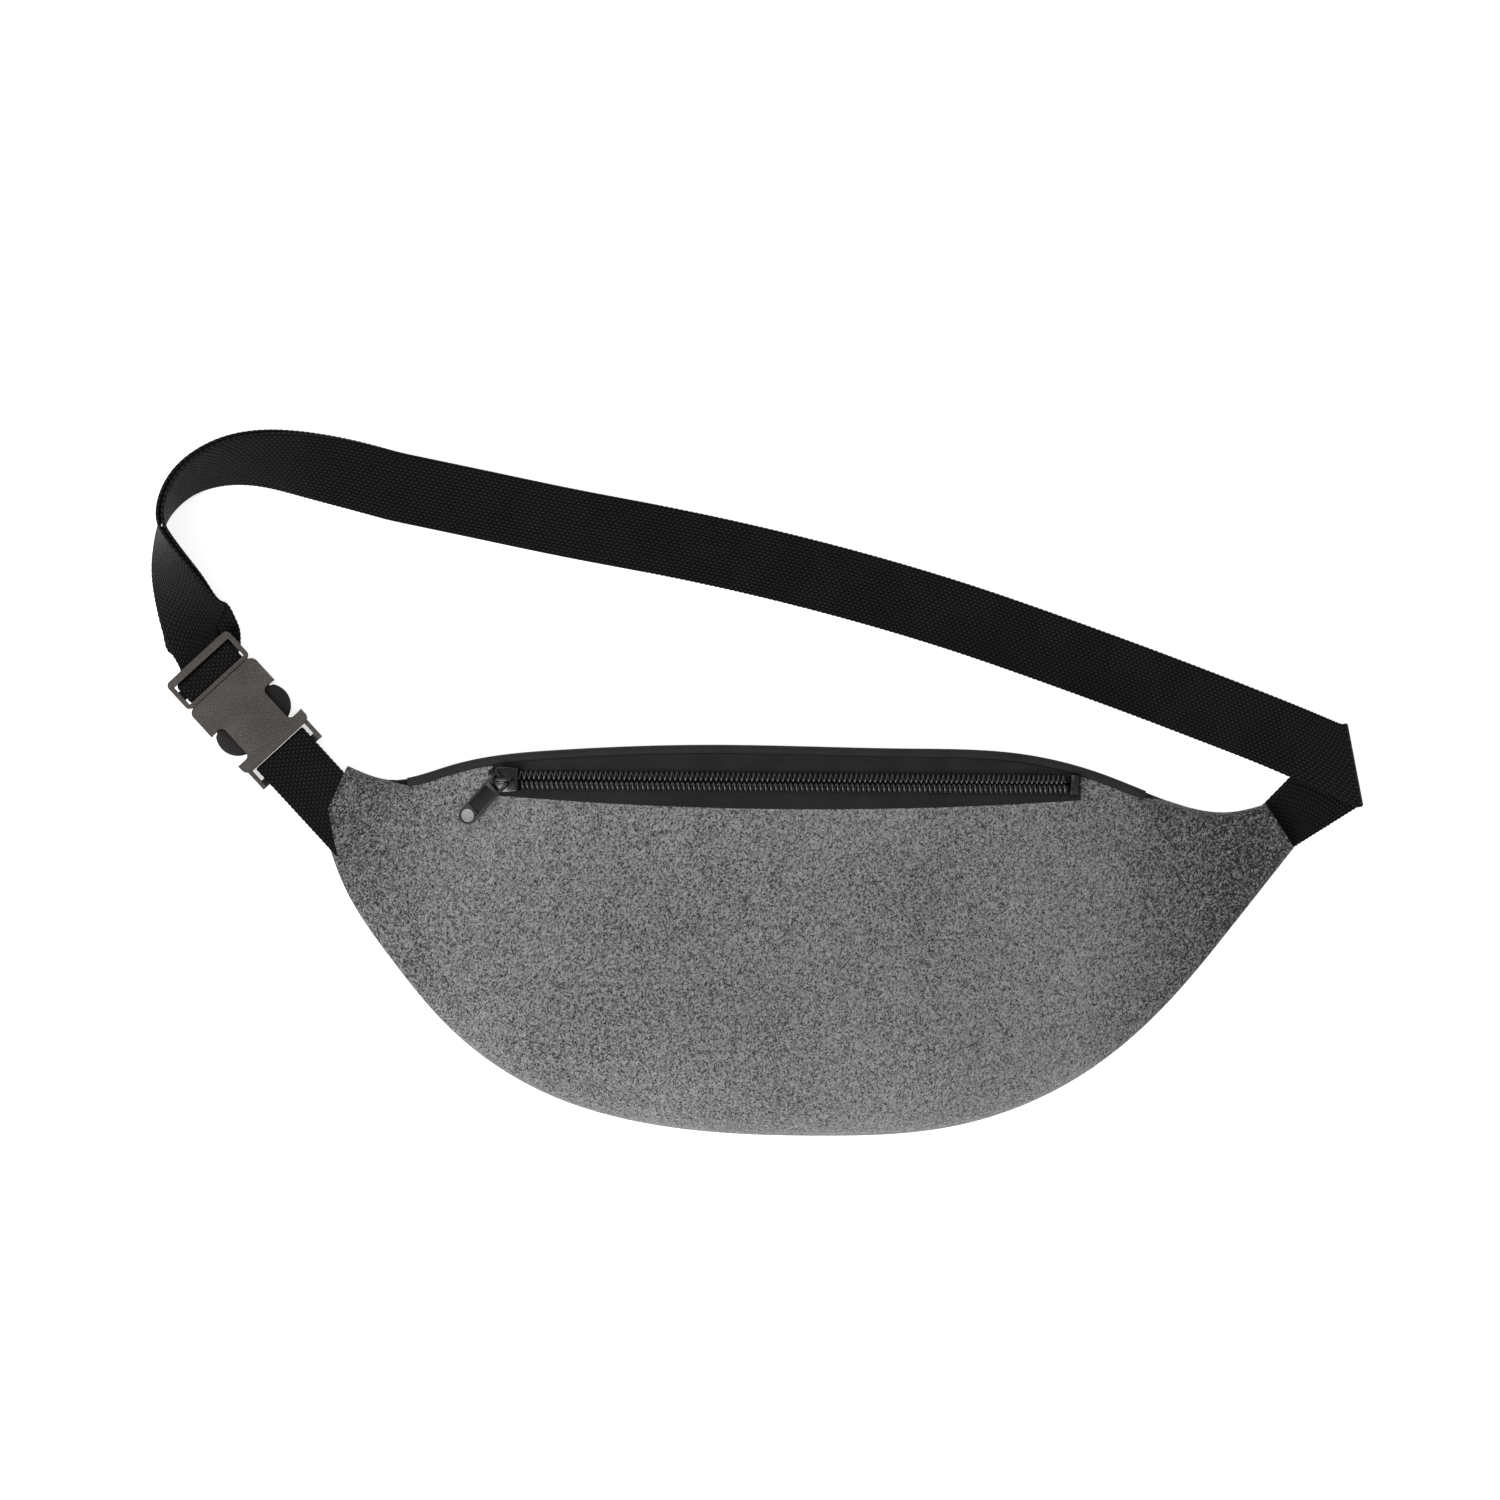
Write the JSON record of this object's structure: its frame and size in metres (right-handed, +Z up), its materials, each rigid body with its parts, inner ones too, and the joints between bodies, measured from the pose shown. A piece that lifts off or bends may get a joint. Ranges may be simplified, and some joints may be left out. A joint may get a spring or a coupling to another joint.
{
  "type": "waist bag",
  "caption": "Crescent-shaped waist bag lying on its back, with a curved top zip, a webbing belt and a side-squeeze buckle.",
  "frame": {"origin": "middle of the back panel's resting face", "axes": "+X along the bag to its right end, +Y towards the zipped edge, +Z up from the surface that the bag lies on"},
  "size_m": [0.4547, 0.2648, 0.0368],
  "materials": {
    "grey_fabric": "speckled woven",
    "black_fabric": "smooth woven",
    "lining": "plain",
    "webbing": "woven webbing",
    "zip_tape": "herringbone tape",
    "zip_coil": "nylon coil",
    "zip_metal": "black lacquer",
    "pull_plastic": "satin black",
    "buckle_plastic": "fine grain"
  },
  "bodies": {
    "bag": {"front_panel": "grey_fabric", "back_panel": "black_fabric", "back_lining": "lining", "top_gusset": "black_fabric", "top_edge_roll": "black_fabric", "seam_binding": "webbing", "zip_tape_upper": "zip_tape", "zip_tape_lower": "zip_tape", "zip_coil_upper": "zip_coil", "zip_coil_lower": "zip_coil", "zip_bottom_stop": "zip_metal", "zip_top_stop": "zip_metal", "buckle_socket": "buckle_plastic", "tab_webbing": "webbing", "belt_end": "webbing", "belt_fold": "webbing", "belt_long_run": "webbing", "belt_turn": "webbing", "tail_turn": "webbing", "tail_run": "webbing", "tail_hem": "webbing"},
    "slider": {"slider_body": "zip_metal", "slider_bail": "zip_metal"},
    "pull": {"pull_tab": "pull_plastic"},
    "plug": {"buckle_plug": "buckle_plastic", "belt_bar_wrap": "webbing"},
    "prong_l": {"prong_left": "buckle_plastic"},
    "prong_r": {"prong_right": "buckle_plastic"}
  },
  "joints": [
    {"name": "zip_slide", "type": "hinge", "parent": "bag", "child": "slider", "pos_m": [-0.008, 0.0596, -0.366], "axis": [0.0087, 1, 0], "range_deg": [0, 28.5]},
    {"name": "pull_flip", "type": "hinge", "parent": "slider", "child": "pull", "pos_m": [-0.11431, 0.06116, 0.02563], "axis": [-0.6886, 0.7007, -0.1868], "range_deg": [0, 85]},
    {"name": "plug_pull", "type": "slide", "parent": "bag", "child": "plug", "axis": [-0.6756, 0.7373, 0], "range_m": [0, 0.025], "deforming": ["belt_turn", "tail_turn", "prong_left", "prong_right"]},
    {"name": "prong_left_squeeze", "type": "hinge", "parent": "plug", "child": "prong_l", "pos_m": [-0.22452, 0.0864, 0.0045], "axis": [0, 0, 1], "range_deg": [0, 8], "stiffness_Nm_per_rad": 0.5},
    {"name": "prong_right_squeeze", "type": "hinge", "parent": "plug", "child": "prong_r", "pos_m": [-0.20978, 0.09991, 0.0045], "axis": [0, 0, -1], "range_deg": [0, 8], "stiffness_Nm_per_rad": 0.5}
  ]
}
